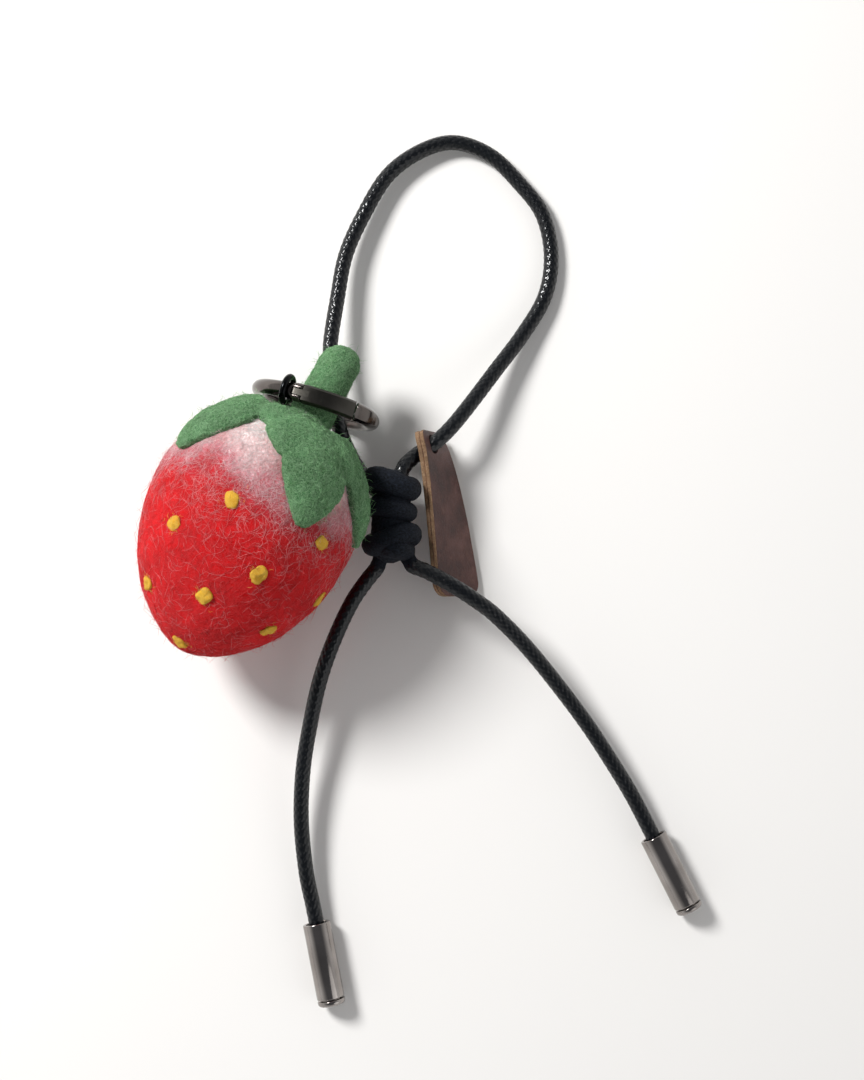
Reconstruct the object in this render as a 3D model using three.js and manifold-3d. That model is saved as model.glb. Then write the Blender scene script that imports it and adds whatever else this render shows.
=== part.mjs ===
// A felted wool strawberry on a spring-gate ring, threaded on a knotted cord loop with a leather tag.
// Millimetres, +Z up. The origin is the flat spot that the strawberry rests on.
import * as THREE from "three";
import { mergeVertices } from "three/addons/utils/BufferGeometryUtils.js";
import Module from "manifold-3d";

const wasm = await Module();
wasm.setup();

// Clearances
const touchGap = 0.3; // between pieces that touch
const hingeGap = 0.15; // round the gate's small pin, and beside its tongue

// Strawberry: a wool core in a coloured wool skin, lying on its side
const berryRadius = 20.2;
const berryLength = 50.4;
const berryShoulder = 21.5; // from the stalk end to the widest ring
const berryRest = 24.4; // from the stalk end to the spot it rests on
const berryTipPower = 0.6; // 0.5 is round, more is pointed
const skinThickness = 2.6;
const restSink = 0.45; // how deep the felt is pressed flat
const berryTurn = 63.3; // degrees of the stalk's direction from +X
const berryTilt = 4; // degrees the stalk end is raised

// Felted leaves and stalk
const leafThickness = 1.9;
const leafEdge = 0.7; // thickness left at a leaf's rim
const leafRoot = 1.9; // along the body from its end to the leaves' roots
const leafSpread = 25; // degrees each side that a leaf may cover
const collarRadius = 7;
const collarThickness = 1;
const stalkRadius = 4.1;
const stalkLength = 17.2;
const stalkBend = 3; // degrees over its length
const stalkSide = 0.7; // from the body's axis
const stalkRise = 3.1; // its root, above the ring's centre
const stalkLean = 0; // degrees it leans to the body's left
const stalkFall = 7; // degrees it points below the body's axis
// Each leaf: where it points round the body, how far along it reaches, its half width.
const leaves = [
  { turn: 7, reach: 18, half: 5.6 },
  { turn: 58, reach: 18.4, half: 7 },
  { turn: 146, reach: 15.6, half: 6.4 },
  { turn: 218, reach: 14, half: 5.8 },
  { turn: 280, reach: 9, half: 4.2 },
];

// Felted seeds
const seedLong = 1.75; // half length
const seedWide = 1.45; // half width
const seedProud = 0.5; // half thickness
// Each seed: distance from the stalk end, and degrees round the body from its right side
const seedPlaces = [
  [19.4, -20], [19.4, 40], [19.4, 96], [19.4, 206],
  [29.6, 10], [29.6, 65], [28.2, 121.5], [29.6, 190], [29.6, 240], [29.6, 312],
  [39, -38], [38.8, 30], [37.6, 87.5], [41, 141], [39, 203], [39, 262],
  [48.6, -50], [48.6, 100], [48.6, 200],
];

// Screw eye, glued into the core
const eyeWire = 1.15;
const eyeInner = 3.7;
const shankLength = 12;

// Spring-gate ring, standing on its edge round the cord and the stalk
const ringOuter = 26;
const ringRod = 3;
const gateRod = 3.2;
const ringTurn = -16.4; // degrees of the ring's plane from +X
const eyeX = 8.24; // where the eye holds the ring
const eyeY = 26.67;
const eyeAngle = 115; // round the ring, from its right end
const pinAngle = 105;
const noseAngle = 42;
const noseGap = 0.5;
const pinRadius = 0.4;
const tongueThickness = 1;
const tongueRadius = 1.2;
const springRadius = 0.5; // over the wire
const springWire = 0.2;
const springTurns = 4;
const springStart = 112.5; // degrees round the ring
const springEnd = 127;

// Cord, its knot and its metal ends
const cordDiameter = 3;
const cordSides = 8;
const cordStep = 6.5; // between the rings of a cord's solid
const knotRadius = 5.45;
const knotLength = 17.6;
const knotTurns = 3; // wraps that show
const knotGroove = 0.7; // depth between the wraps
const knotCentre = [27.8, 3.5, 12.4];
const endOuter = 5.5;
const endWall = 0.6;
const endTube = 14.9;
const endCap = 1.1;
const endGroove = 0.3;
const capPlug = 3;
const cordInEnd = 9; // how far a cord goes into its metal end

// Leather tag, hung on the loop's right leg
const tagLength = 33;
const tagWidth = 12.5;
const tagThickness = 1.8;
const tagCorner = 3;
const tagHoleIn = 4.6; // from the end to the hole
const tagHoleDown = 4; // from the upper edge to the hole
const tagHoleGap = 0.4;
const tagTiltHole = 75; // degrees from the table at the hole's end
const tagTiltFar = 48;
const tagTwist = 0.6; // under 1, most of the twist is near the hole

// The upper edge of the tag, from the hole's end
const tagEdge = [
  [32.7, 20.4, 13.6], [34, 15.6, 13], [35.3, 4.1, 11.5], [36.7, -12.4, 10],
];

// The loop, from the knot's left side round to its right side
const loopRoute = [
  [25.2, 8.2, 12.2], [23, 10.6, 11.6], [21.2, 13, 10.4], [19.2, 16.6, 9], [17.4, 21, 7.8],
  [16.3, 26.3, 7.2], [15.7, 32.4, 7], [15.3, 38.6, 6.5], [16.5, 47.9, 5], [18.2, 57.6, 4],
  [21.9, 66.4, 3.2], [26.8, 74.6, 2.8], [33.5, 79.7, 2.5], [40.5, 81.6, 2.2], [47.8, 79, 1.9],
  [53.7, 73.3, 1.7], [58.5, 66.8, 1.6], [60.3, 58.3, 1.5], [59, 49.7, 1.7], [54.4, 41.6, 2.6],
  [48.6, 33.6, 4.6], [43.7, 26.8, 6.8], [40, 22, 8.3], [37.1, 19, 9], [34.7, 17.2, 9.3],
  [32.2, 15.4, 10.2], [30.1, 13, 11.4], [29, 9.4, 12.2],
];

// The two tails, each from its pivot below the knot to the mouth of its metal end
const leftRoute = [
  [25, -6.7, 11.6], [23, -9.1, 11.2], [19.9, -13.6, 10.5], [16.4, -21, 9.4],
  [13.6, -28.9, 8.2], [11.6, -37.8, 6.9], [10.2, -46.6, 5.7], [9.8, -56.5, 4.6],
  [10.7, -66.5, 3.6], [12.1, -73.5, 2.95], [12.8, -77, 2.75],
];
const rightRoute = [
  [32, -6.4, 12.4], [35, -7.6, 13.1], [40.1, -10.4, 13.4], [44.3, -13.1, 12.7],
  [48.2, -16, 11.4], [54.1, -21.8, 9.2], [60.4, -29.3, 7.1], [66.9, -37.9, 5.4],
  [72.1, -45.8, 4.3], [75.7, -51.7, 3.5], [79, -58, 2.9], [80, -60, 2.75],
];

const radians = THREE.MathUtils.degToRad;
const cordRadius = cordDiameter / 2;
const ringRadius = (ringOuter - ringRod) / 2;
const zAxis = new THREE.Vector3(0, 0, 1);

// Solids

function bare(geometry) {
  const copy = geometry.clone();
  copy.deleteAttribute("normal");
  copy.deleteAttribute("uv");
  return mergeVertices(copy, 1e-4);
}

function solidOf(geometry) {
  const merged = bare(geometry);
  return new wasm.Manifold(new wasm.Mesh({
    numProp: 3,
    vertProperties: merged.attributes.position.array,
    triVerts: new Uint32Array(merged.index.array),
  }));
}

function geometryOf(solid) {
  const mesh = solid.getMesh();
  const geometry = new THREE.BufferGeometry();
  geometry.setAttribute("position", new THREE.BufferAttribute(mesh.vertProperties, 3));
  geometry.setIndex(new THREE.BufferAttribute(mesh.triVerts, 1));
  return geometry;
}

function paint(color, roughness, metalness = 0) {
  return new THREE.MeshStandardMaterial({ color, roughness, metalness });
}

function named(name, geometry, material) {
  const mesh = new THREE.Mesh(geometry, material);
  mesh.name = name;
  return mesh;
}

// A cylinder along +Z, centred on a point.
function roundBar(radius, length, sides, x = 0, y = 0, z = 0) {
  const bar = new THREE.CylinderGeometry(radius, radius, length, sides);
  return bar.rotateX(Math.PI / 2).translate(x, y, z);
}

// A closed slab: place(u, v, w) gives a point for u 0..1 along, v -1..1 across, w 0..1 through.
function mappedSlab(stepsAlong, stepsAcross, place) {
  const slab = new THREE.BoxGeometry(1, 2, 1, stepsAlong, stepsAcross, 1);
  const position = slab.attributes.position;
  for (let i = 0; i < position.count; i++) {
    const [u, v, w] = [position.getX(i) + 0.5, position.getY(i), position.getZ(i) + 0.5];
    position.setXYZ(i, ...place(u, v, w));
  }
  return slab;
}

// Cords

function curveThrough(points) {
  return new THREE.CatmullRomCurve3(points.map((p) => new THREE.Vector3(...p)), false, "catmullrom", 0.5);
}

function cordAlong(curve) {
  const section = new THREE.Shape();
  section.absarc(0, 0, cordRadius, 0, 2 * Math.PI);
  return new THREE.ExtrudeGeometry(section, {
    curveSegments: cordSides / 2,
    steps: Math.ceil(curve.getLength() / cordStep),
    extrudePath: curve,
    bevelEnabled: false,
  });
}

function knotGeometry(grow) {
  const half = knotLength / 2 + grow;
  const rows = 15;
  const profile = [];
  for (let i = 0; i <= rows; i++) {
    const angle = (Math.PI * i) / rows - Math.PI / 2;
    const across = Math.sin(angle);
    const dome = Math.sqrt(Math.max(0, 1 - across ** 4));
    const wrap = Math.abs(Math.cos((Math.PI * knotTurns * across) / 2));
    const radius = knotRadius + grow - knotGroove * wrap;
    profile.push(new THREE.Vector2(i === 0 || i === rows ? 0 : radius * dome, half * across));
  }
  return new THREE.LatheGeometry(profile, 18).translate(...knotCentre);
}

// The metal end's place: its mouth is the last point of the tail's route.
function endPlacement(route) {
  const mouth = new THREE.Vector3(...route.at(-1));
  const along = mouth.clone().sub(new THREE.Vector3(...route.at(-2))).setZ(0).normalize();
  return { mouth, along };
}

function buildTail(side, route) {
  const { mouth, along } = endPlacement(route);
  const hidden = mouth.clone().addScaledVector(along, cordInEnd);
  const curve = curveThrough([...route, hidden.toArray()]);
  const ball = new THREE.SphereGeometry(cordRadius, 10, 8).translate(...route[0]);
  const cord = solidOf(cordAlong(curve)).add(solidOf(ball));

  const outer = endOuter / 2;
  const bore = outer - endWall;
  const tubeProfile = [
    [bore, 0], [outer, 0], [outer, endTube], [bore, endTube], [bore, 0],
  ].map((p) => new THREE.Vector2(...p));
  const capStart = endTube + endGroove;
  const capEnd = capStart + endCap;
  const plugRadius = bore - touchGap;
  const capProfile = [
    [0, endTube - capPlug], [plugRadius, endTube - capPlug], [plugRadius, capStart],
    [outer, capStart], [outer, capEnd - 0.9], [outer - 0.35, capEnd - 0.35],
    [outer - 1, capEnd], [0, capEnd],
  ].map((p) => new THREE.Vector2(...p));
  const yAxis = new THREE.Vector3(0, 1, 0);
  const turn = new THREE.Quaternion().setFromUnitVectors(yAxis, along);
  const fitted = (profile, sides) =>
    new THREE.LatheGeometry(profile, sides).applyQuaternion(turn).translate(...mouth.toArray());

  const metal = paint(0x8d8b8b, 0.22, 1);
  return [
    named(side + "_tail_cord", geometryOf(cord), paint(0x101316, 0.45)),
    named(side + "_cord_end", fitted(tubeProfile, 24), metal),
    named(side + "_end_cap", fitted(capProfile, 24), metal),
  ];
}

function buildLoop() {
  const route = curveThrough(loopRoute);
  const room = solidOf(knotGeometry(touchGap));
  const loop = solidOf(cordAlong(route)).subtract(room);
  return [
    named("loop_cord", geometryOf(loop), paint(0x101316, 0.45)),
    named("snake_knot", knotGeometry(0), paint(0x14171c, 0.6)),
  ];
}

// Leather tag

const tagCurve = curveThrough(tagEdge);

// A point of the tag: along from the hole's end, down from the upper edge, out through its thickness.
function tagPoint(along, down, out) {
  const share = along / tagLength;
  const edge = tagCurve.getPointAt(share);
  const forward = tagCurve.getTangentAt(share);
  const level = new THREE.Vector3(-forward.y, forward.x, 0).normalize();
  const tilt = radians(THREE.MathUtils.lerp(tagTiltHole, tagTiltFar, share ** tagTwist));
  const across = level.multiplyScalar(Math.cos(tilt)).addScaledVector(zAxis, -Math.sin(tilt));
  const normal = forward.clone().cross(across).normalize();
  return edge.addScaledVector(across, down).addScaledVector(normal, out);
}

function tagHoleCentre() {
  return tagPoint(tagHoleIn, tagHoleDown, 0);
}

// The direction of the loop where it passes the tag's hole
function tagHoleAxis() {
  const curve = curveThrough(loopRoute);
  const centre = tagHoleCentre();
  const samples = 400;
  let nearest = 0;
  let best = Infinity;
  for (let i = samples / 2; i <= samples; i++) {
    const distance = curve.getPointAt(i / samples).distanceTo(centre);
    if (distance < best) [best, nearest] = [distance, i / samples];
  }
  return { point: curve.getPointAt(nearest), direction: curve.getTangentAt(nearest) };
}

function buildTag() {
  const half = tagWidth / 2;
  const slab = mappedSlab(18, 4, (u, v, w) => {
    const along = u * tagLength;
    const fromEnd = Math.min(along, tagLength - along);
    const corner = Math.max(0, tagCorner - fromEnd);
    const lost = tagCorner - Math.sqrt(tagCorner ** 2 - corner ** 2);
    const down = half + v * (half - lost);
    return tagPoint(along, down, (w - 0.5) * tagThickness).toArray();
  });
  const { point, direction } = tagHoleAxis();
  const drill = roundBar(cordRadius + tagHoleGap, 12, 16);
  drill.applyQuaternion(new THREE.Quaternion().setFromUnitVectors(zAxis, direction));
  drill.translate(...point.toArray());
  const tag = solidOf(slab).subtract(solidOf(drill));
  return named("leather_tag", geometryOf(tag), paint(0x4d2f2a, 0.6));
}

// Ring, gate and their hinge. Its own frame: X along the ring's plane, Y up, Z through it.

function onRing(angle, radius = ringRadius) {
  return [radius * Math.cos(radians(angle)), radius * Math.sin(radians(angle))];
}

// The ring stands on its edge, with the eye's place on its rod.
function ringFrame() {
  const frame = new THREE.Group();
  const across = onRing(eyeAngle)[0];
  const turn = radians(ringTurn);
  frame.position.set(eyeX - across * Math.cos(turn), eyeY - across * Math.sin(turn), ringOuter / 2);
  frame.rotation.set(Math.PI / 2, 0, turn, "ZYX");
  frame.updateMatrixWorld(true);
  return frame;
}

// A thick slice of a disc between two angles.
function wedge(from, to) {
  const shape = new THREE.Shape();
  shape.moveTo(0, 0);
  shape.absarc(0, 0, ringOuter, radians(from), radians(to));
  shape.lineTo(0, 0);
  const depth = 2 * ringRod;
  const slice = new THREE.ExtrudeGeometry(shape, { depth, bevelEnabled: false, curveSegments: 12 });
  return solidOf(slice.translate(0, 0, -ringRod));
}

function flatSlab(thickness) {
  return solidOf(new THREE.BoxGeometry(2 * ringOuter, 2 * ringOuter, thickness));
}

function atPin(radius, length, sides = 20) {
  return solidOf(roundBar(radius, length, sides, ...onRing(pinAngle)));
}

// What lies within a distance of the pin, on the gate's side of it
function gateSide(radius) {
  const arc = wedge(noseAngle - 20, pinAngle);
  return arc.intersect(atPin(radius, 2 * ringRod, 72));
}

function torus(rod, sides, steps) {
  return solidOf(new THREE.TorusGeometry(ringRadius, rod / 2, sides, steps));
}

function springBore(radius, from, to, sides) {
  const start = new THREE.Vector3(...onRing(from), 0);
  const end = new THREE.Vector3(...onRing(to), 0);
  const along = end.clone().sub(start);
  const bar = roundBar(radius, along.length(), sides);
  bar.applyQuaternion(new THREE.Quaternion().setFromUnitVectors(zAxis, along.clone().normalize()));
  return bar.translate(...start.add(end).multiplyScalar(0.5).toArray());
}

function springGeometry() {
  const start = new THREE.Vector3(...onRing(springStart), 0);
  const end = new THREE.Vector3(...onRing(springEnd), 0);
  const along = end.clone().sub(start);
  const turn = new THREE.Quaternion().setFromUnitVectors(zAxis, along.clone().normalize());
  const coil = springRadius - springWire / 2;
  const route = [];
  const perTurn = 8;
  for (let i = 0; i <= springTurns * perTurn; i++) {
    const angle = (2 * Math.PI * i) / perTurn;
    const height = (along.length() * i) / (springTurns * perTurn);
    const point = new THREE.Vector3(coil * Math.cos(angle), coil * Math.sin(angle), height);
    route.push(point.applyQuaternion(turn).add(start).toArray());
  }
  const section = new THREE.Shape();
  section.absarc(0, 0, springWire / 2, 0, 2 * Math.PI);
  return new THREE.ExtrudeGeometry(section, {
    curveSegments: 3,
    steps: springTurns * perTurn,
    extrudePath: curveThrough(route),
    bevelEnabled: false,
  });
}

function buildRing() {
  const knuckle = ringRod / 2;
  const steel = paint(0x4a4643, 0.25, 1);
  const whole = torus(ringRod, 10, 54);
  const slot = atPin(knuckle + hingeGap, tongueThickness + 2 * hingeGap);
  const bore = solidOf(springBore(springRadius + hingeGap, springStart - 2, springEnd + 1, 12));
  // The nose is cut on an arc round the pin, so that the gate can swing in past it.
  const noseReach = 2 * ringRadius * Math.sin(radians((pinAngle - noseAngle) / 2));
  const body = whole
    .subtract(gateSide(noseReach))
    .add(whole.intersect(atPin(knuckle, ringRod)))
    .subtract(slot)
    .subtract(bore)
    .subtract(atPin(pinRadius + hingeGap, 2 * ringRod));

  const barrel = torus(gateRod, 12, 72)
    .intersect(gateSide(noseReach - noseGap))
    .subtract(atPin(knuckle + touchGap, 2 * ringRod));
  const tongue = torus(2 * tongueRadius, 10, 72)
    .intersect(flatSlab(tongueThickness))
    .intersect(wedge(pinAngle - 20, pinAngle).add(atPin(tongueRadius, ringRod)));
  const gate = barrel.add(tongue).subtract(atPin(pinRadius + hingeGap, 2 * ringRod));

  const frame = ringFrame();
  frame.add(
    named("ring_body", geometryOf(body), steel),
    named("ring_gate", geometryOf(gate), steel),
    named("gate_pin", roundBar(pinRadius, ringRod - 0.2, 12, ...onRing(pinAngle)), steel),
    named("gate_spring", springGeometry(), paint(0x9a9a98, 0.3, 1)),
  );
  return frame;
}

// Strawberry. Its own frame: Z from the stalk end, at 0, to the tip; X to its right side, Y up.

function berryRadiusAt(along) {
  const tipSide = along > berryShoulder;
  const span = tipSide ? berryLength - berryShoulder : berryShoulder;
  const share = Math.min(1, Math.abs(along - berryShoulder) / span);
  return berryRadius * (1 - share ** 2) ** (tipSide ? berryTipPower : 0.5);
}

// A point at a distance outside the body's surface
function berryPoint(along, turn, out) {
  const small = 0.05;
  const slope = (berryRadiusAt(along + small) - berryRadiusAt(along - small)) / (2 * small);
  const steep = Math.hypot(1, slope);
  const radius = berryRadiusAt(along) + out / steep;
  const angle = radians(turn);
  return [radius * Math.cos(angle), radius * Math.sin(angle), along - (out * slope) / steep];
}

function berrySolid(inset, sides, rows) {
  const profile = [];
  for (let i = 0; i <= rows; i++) {
    const angle = (Math.PI * i) / rows - Math.PI / 2;
    const share = Math.sin(angle);
    const span = share > 0 ? berryLength - berryShoulder : berryShoulder;
    const along = berryShoulder + share * (span - inset);
    const power = share > 0 ? berryTipPower : 0.5;
    const radius = (berryRadius - inset) * Math.max(0, 1 - share ** 2) ** power;
    profile.push(new THREE.Vector2(i === 0 || i === rows ? 0 : radius, along));
  }
  return solidOf(new THREE.LatheGeometry(profile, sides).rotateX(Math.PI / 2));
}

function leafGeometry({ turn, reach, half }) {
  return mappedSlab(10, 6, (u, v, w) => {
    const along = leafRoot + (reach - leafRoot) * u;
    const width = half * (0.16 + 0.84 * Math.sin(Math.PI * (0.24 + 0.74 * u)) ** 0.9);
    const radius = berryRadiusAt(along);
    const spread = -v * Math.min(leafSpread, THREE.MathUtils.radToDeg(width / radius));
    const crown = leafEdge + (leafThickness - leafEdge) * (1 - v ** 2) * (1 - u ** 6);
    return berryPoint(along, turn + spread, touchGap + w * crown);
  });
}

function buildStalk(drop) {
  const profile = [];
  const rows = 9;
  const flare = 0.12;
  for (let i = 0; i <= rows; i++) {
    const share = i / rows;
    const round = Math.sqrt(Math.max(0, 1 - Math.max(0, (share - 0.72) / 0.28) ** 2));
    const radius = stalkRadius * (1 + flare * (1 - share) ** 3) * round;
    profile.push(new THREE.Vector2(i === rows ? 0 : radius, share * stalkLength));
  }
  profile.unshift(new THREE.Vector2(0, 0));
  const stalk = new THREE.LatheGeometry(profile, 16).rotateX(Math.PI / 2);
  const position = stalk.attributes.position;
  for (let i = 0; i < position.count; i++) {
    const height = position.getZ(i);
    const drift = Math.tan(radians(stalkBend)) * (height ** 2 / stalkLength) * 0.5;
    position.setX(i, position.getX(i) + drift);
  }
  stalk.rotateY(radians(-stalkLean)).rotateX(Math.PI - radians(stalkFall));
  stalk.translate(stalkSide, -drop, 0);
  const collarTop = collarThickness + 2 * touchGap;
  const below = new THREE.BoxGeometry(40, 40, 20).translate(0, 0, 10 - collarTop);
  return geometryOf(solidOf(stalk).subtract(solidOf(below)));
}

function buildCharm() {
  const charm = new THREE.Group();
  const tilt = radians(berryTilt);
  const turn = radians(berryTurn);
  const stalkWay = new THREE.Vector3(
    Math.cos(tilt) * Math.cos(turn), Math.cos(tilt) * Math.sin(turn), Math.sin(tilt),
  );
  const right = new THREE.Vector3(Math.sin(turn), -Math.cos(turn), 0);
  const tipWay = stalkWay.clone().negate();
  const up = tipWay.clone().cross(right);
  charm.quaternion.setFromRotationMatrix(new THREE.Matrix4().makeBasis(right, up, tipWay));
  const restHeight = berryRadiusAt(berryRest) * Math.cos(tilt) - restSink;
  charm.position.copy(stalkWay).multiplyScalar(berryRest);
  charm.position.addScaledVector(zAxis, restHeight);
  charm.updateMatrixWorld(true);

  const table = new THREE.BoxGeometry(200, 200, 40).translate(0, 0, -20);
  table.applyMatrix4(charm.matrixWorld.clone().invert());

  // The eye stands where the ring's rod passes it.
  const eyeOuter = eyeInner / 2 + eyeWire;
  const ringPlace = ringFrame().matrixWorld;
  const eyeAt = new THREE.Vector3(...onRing(eyeAngle), 0).applyMatrix4(ringPlace);
  const rodWay = new THREE.Vector3(...onRing(eyeAngle - 90, 1), 0).transformDirection(ringPlace);
  const shankWay = tipWay.clone();
  shankWay.addScaledVector(rodWay, -shankWay.dot(rodWay)).normalize();
  const eyeBasis = new THREE.Matrix4().makeBasis(
    shankWay.clone().cross(rodWay), shankWay, rodWay,
  ).setPosition(eyeAt);
  const toCharm = charm.matrixWorld.clone().invert().multiply(eyeBasis);
  const hoop = new THREE.TorusGeometry((eyeInner + eyeWire) / 2, eyeWire / 2, 8, 18);
  const shank = new THREE.CylinderGeometry(eyeWire / 2, eyeWire / 2, shankLength, 10)
    .translate(0, eyeInner / 2 + eyeWire / 2 + shankLength / 2, 0);
  const eye = solidOf(hoop).add(solidOf(shank));
  const eyeGeometry = geometryOf(eye).applyMatrix4(toCharm);
  const holeRadius = eyeWire / 2 + touchGap;
  const hole = new THREE.CylinderGeometry(holeRadius, holeRadius, shankLength + touchGap, 12)
    .translate(0, eyeOuter + (shankLength + touchGap) / 2 - eyeWire / 2, 0).applyMatrix4(toCharm);
  const holeSolid = solidOf(hole);
  const roomLength = eyeWire + 2 * touchGap;
  const eyeRoom = solidOf(roundBar(eyeOuter + touchGap, roomLength, 24).applyMatrix4(toCharm));

  const full = berrySolid(0, 32, 18);
  const skin = full
    .subtract(solidOf(table))
    .subtract(berrySolid(skinThickness, 20, 12))
    .subtract(holeSolid);
  const core = berrySolid(skinThickness + touchGap, 20, 12).subtract(holeSolid);

  const ringSolid = new THREE.TorusGeometry(ringRadius, ringRod / 2 + touchGap, 12, 54);
  const toRing = charm.matrixWorld.clone().invert().multiply(ringPlace);
  const collar = solidOf(roundBar(collarRadius, 2 * (touchGap + collarThickness), 28))
    .subtract(berrySolid(-touchGap, 32, 18))
    .subtract(holeSolid)
    .subtract(eyeRoom)
    .subtract(solidOf(ringSolid.applyMatrix4(toRing)));

  const stalkDrop = (charm.position.z - ringOuter / 2 - stalkRise) / Math.cos(tilt);
  const green = paint(0x4f8a4c, 0.95);
  charm.add(
    named("wool_core", geometryOf(core), paint(0xe9e2d6, 0.95)),
    named("wool_skin", geometryOf(skin), paint(0xc8141c, 0.95)),
    named("leaf_collar", geometryOf(collar), green),
    named("stalk", buildStalk(stalkDrop), green),
    named("screw_eye", eyeGeometry, paint(0x15171a, 0.35, 0.6)),
  );
  leaves.forEach((leaf, i) => charm.add(named(`leaf_${i + 1}`, leafGeometry(leaf), green)));

  seedPlaces.forEach(([along, seedTurn], i) => {
    const foot = new THREE.Vector3(...berryPoint(along, seedTurn, 0));
    const top = new THREE.Vector3(...berryPoint(along, seedTurn, 1));
    const seed = new THREE.SphereGeometry(1, 8, 5).scale(seedWide, seedLong, seedProud);
    const out = top.sub(foot);
    seed.applyQuaternion(new THREE.Quaternion().setFromUnitVectors(zAxis, out));
    foot.addScaledVector(out, touchGap + seedProud);
    seed.translate(...foot.toArray());
    charm.add(named(`seed_${String(i + 1).padStart(2, "0")}`, seed, paint(0xd9b02f, 0.95)));
  });
  return charm;
}

const keychain = new THREE.Group();
keychain.add(
  ...buildLoop(),
  ...buildTail("left", leftRoute),
  ...buildTail("right", rightRoute),
  buildTag(),
  buildRing(),
  buildCharm(),
);

export default keychain;
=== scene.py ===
# A needle-felted strawberry on a spring-gate ring, threaded on a knotted cord loop with a leather tag.
import math
import random

import bpy
import numpy as np
from mathutils import Matrix, Vector, noise
from mathutils.bvhtree import BVHTree


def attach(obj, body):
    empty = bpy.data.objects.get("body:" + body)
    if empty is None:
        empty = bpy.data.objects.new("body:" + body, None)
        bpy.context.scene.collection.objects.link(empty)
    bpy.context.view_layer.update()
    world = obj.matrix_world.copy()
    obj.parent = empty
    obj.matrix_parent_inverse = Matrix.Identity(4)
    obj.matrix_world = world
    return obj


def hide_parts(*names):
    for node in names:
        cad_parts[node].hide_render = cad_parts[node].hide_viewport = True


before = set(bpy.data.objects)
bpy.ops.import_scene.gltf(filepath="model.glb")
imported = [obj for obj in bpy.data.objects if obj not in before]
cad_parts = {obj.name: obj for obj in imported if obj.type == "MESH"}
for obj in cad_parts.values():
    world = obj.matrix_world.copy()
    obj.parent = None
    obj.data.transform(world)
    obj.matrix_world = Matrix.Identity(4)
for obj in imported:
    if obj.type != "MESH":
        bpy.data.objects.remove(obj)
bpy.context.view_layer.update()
mm = 0.001


# Helpers

def leaveEdit():
    bpy.ops.object.mode_set(mode="OBJECT")


def deselectAll():
    if bpy.context.object and bpy.context.object.mode != "OBJECT":
        leaveEdit()
    bpy.ops.object.select_all(action="DESELECT")


def activate(piece):
    deselectAll()
    piece.select_set(True)
    bpy.context.view_layer.objects.active = piece


def applyPlace(piece):
    activate(piece)
    bpy.ops.object.transform_apply(location=True, rotation=True, scale=True)


def applyModifier(piece, kind, **settings):
    activate(piece)
    modifier = piece.modifiers.new(kind.title(), kind)
    for name, value in settings.items():
        setattr(modifier, name, value)
    bpy.ops.object.modifier_apply(modifier=modifier.name)


def editMesh(piece, mode="FACE"):
    activate(piece)
    bpy.ops.object.mode_set(mode="EDIT")
    bpy.ops.mesh.select_mode(type=mode)
    bpy.ops.mesh.select_all(action="DESELECT")


def selectFaces(piece, test):
    # test(centre, normal) says which faces; edit mode stays on
    leaveEdit()
    for face in piece.data.polygons:
        face.select = test(face.center, face.normal)
    bpy.ops.object.mode_set(mode="EDIT")


def selectEdges(piece, test):
    # test(start, end) says which edges
    leaveEdit()
    mesh = piece.data
    for face in mesh.polygons:
        face.select = False
    for edge in mesh.edges:
        start, end = (mesh.vertices[i].co for i in edge.vertices)
        edge.select = test(start, end)
    bpy.ops.object.mode_set(mode="EDIT")


def outward(piece):
    editMesh(piece)
    bpy.ops.mesh.select_all(action="SELECT")
    bpy.ops.mesh.remove_doubles(threshold=0.000002)
    bpy.ops.mesh.normals_make_consistent(inside=False)
    leaveEdit()


def cut(piece, cutter, operation="DIFFERENCE"):
    applyModifier(piece, "BOOLEAN", object=cutter, operation=operation, solver="EXACT")
    bpy.data.objects.remove(cutter, do_unlink=True)


def addCylinder(radius, depth, sides, centre=(0, 0, 0), turn=(0, 0, 0)):
    # Radius, depth and centre in millimetres
    deselectAll()
    bpy.ops.mesh.primitive_cylinder_add(
        vertices=sides, radius=radius * mm, depth=depth * mm, location=Vector(centre) * mm, rotation=turn)
    piece = bpy.context.object
    applyPlace(piece)
    return piece


def joinAll(pieces):
    deselectAll()
    for piece in pieces:
        piece.select_set(True)
    bpy.context.view_layer.objects.active = pieces[0]
    bpy.ops.object.join()
    return pieces[0]


def meshPiece(name, points, faces):
    mesh = bpy.data.meshes.new(name)
    mesh.from_pydata([tuple(p) for p in points], [], faces)
    mesh.update()
    piece = bpy.data.objects.new(name, mesh)
    bpy.context.collection.objects.link(piece)
    return piece


def readPoints(mesh, what="co"):
    values = np.empty(len(mesh.vertices) * 3, np.float32)
    mesh.vertices.foreach_get(what, values)
    return values.reshape(-1, 3).astype(float)


def writePoints(mesh, points):
    mesh.vertices.foreach_set("co", points.astype(np.float32).ravel())
    mesh.update()


def noiseAt(points, size):
    return np.array([noise.noise(Vector(p)) for p in points / size])


def smooth(piece, degrees):
    activate(piece)
    bpy.ops.object.shade_smooth_by_angle(angle=math.radians(degrees))


def finishPiece(piece, name, body, slot, materials, nodes=(), degrees=180):
    # degrees: a sharper crease than this stays sharp
    piece.name = name
    piece.data.name = name
    smooth(piece, degrees)
    slots = piece.data.materials
    for i, material in enumerate(materials):
        if i < len(slots):
            slots[i] = material
        else:
            slots.append(material)
    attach(piece, body)
    if nodes:
        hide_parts(*nodes)


def paintNode(name, material):
    slots = bpy.data.objects[name].data.materials
    slots.clear()
    slots.append(material)


def linearColour(hexColour):
    # sRGB hex to the linear values that Blender's shaders use
    parts = [int(hexColour[i:i + 2], 16) / 255 for i in (1, 3, 5)]
    return tuple(p / 12.92 if p <= 0.04045 else ((p + 0.055) / 1.055) ** 2.4 for p in parts) + (1.0,)


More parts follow.
